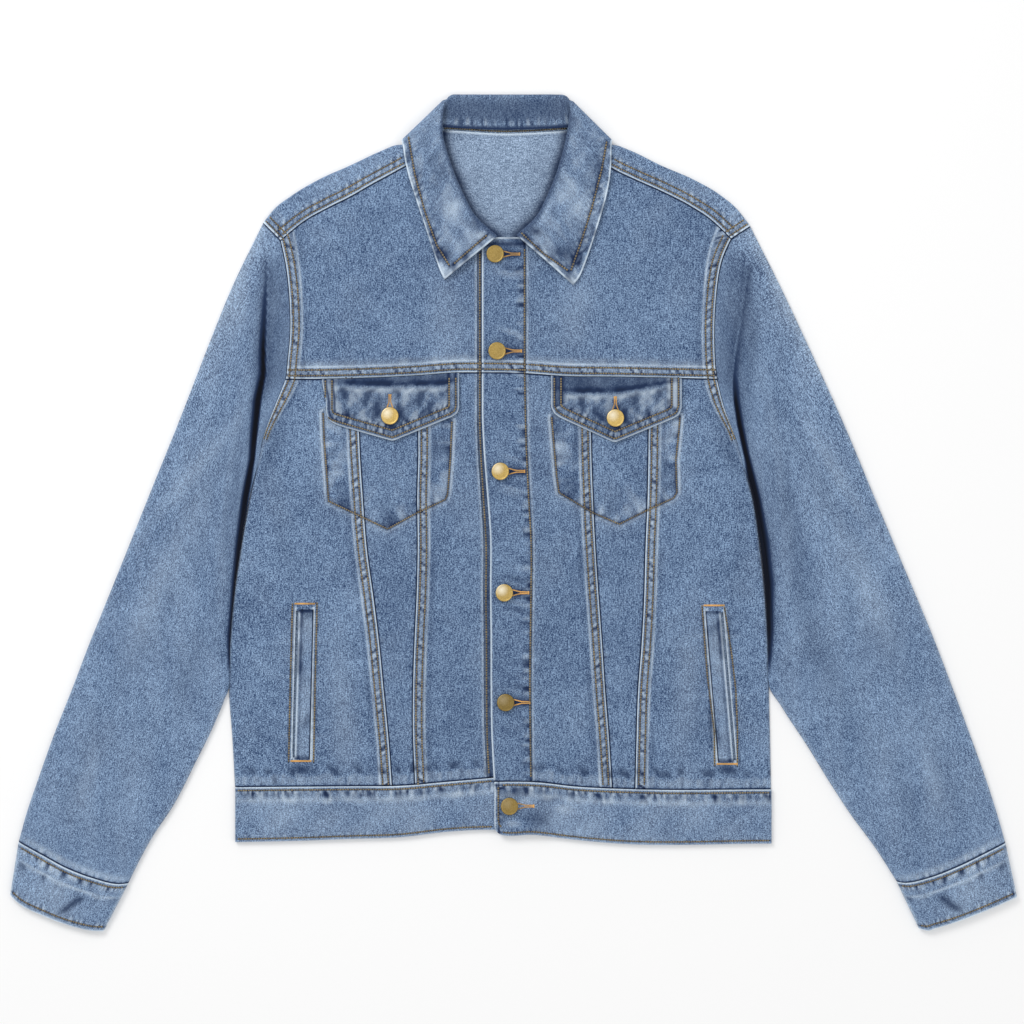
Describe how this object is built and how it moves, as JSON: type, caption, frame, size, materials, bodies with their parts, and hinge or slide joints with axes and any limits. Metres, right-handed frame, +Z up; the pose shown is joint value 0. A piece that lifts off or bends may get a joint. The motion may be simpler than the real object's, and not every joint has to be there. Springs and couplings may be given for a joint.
{
  "type": "denim jacket",
  "caption": "Classic button-front denim jacket laid flat on its back, with flap chest pockets, welt hand pockets, waistband and cuffs.",
  "frame": {"origin": "on the surface it lies on, in the middle of its outline", "axes": "+X along the spread sleeves, to the right of a viewer standing over it; +Y to the collar; +Z up out of the surface it lies on"},
  "size_m": [0.947, 0.7867, 0.0122],
  "materials": {
    "denim": "washed mid-blue denim twill, faded at edges and seams",
    "denim_inside": "pale wrong side of the twill",
    "brass": "antique brass, brushed and slightly worn",
    "thread": "tan topstitching thread"
  },
  "bodies": {
    "root": {"back_body": "denim", "back_yoke": "denim", "front_yoke_l": "denim", "front_yoke_r": "denim", "front_side_l": "denim", "front_side_r": "denim", "front_middle_l": "denim", "front_middle_r": "denim", "front_centre_l": "denim", "front_centre_r": "denim", "placket_under": "denim", "placket_over": "denim", "waistband": "denim", "collar": "denim", "sleeve_l": "denim", "sleeve_r": "denim", "cuff_l": "denim", "cuff_r": "denim", "flap_l": "denim", "flap_r": "denim", "welt_l": "denim", "welt_r": "denim", "button_1": "brass", "button_2": "brass", "button_3": "brass", "button_4": "brass", "button_5": "brass", "button_6": "brass", "flap_button_l": "brass", "flap_button_r": "brass"}
  },
  "joints": []
}
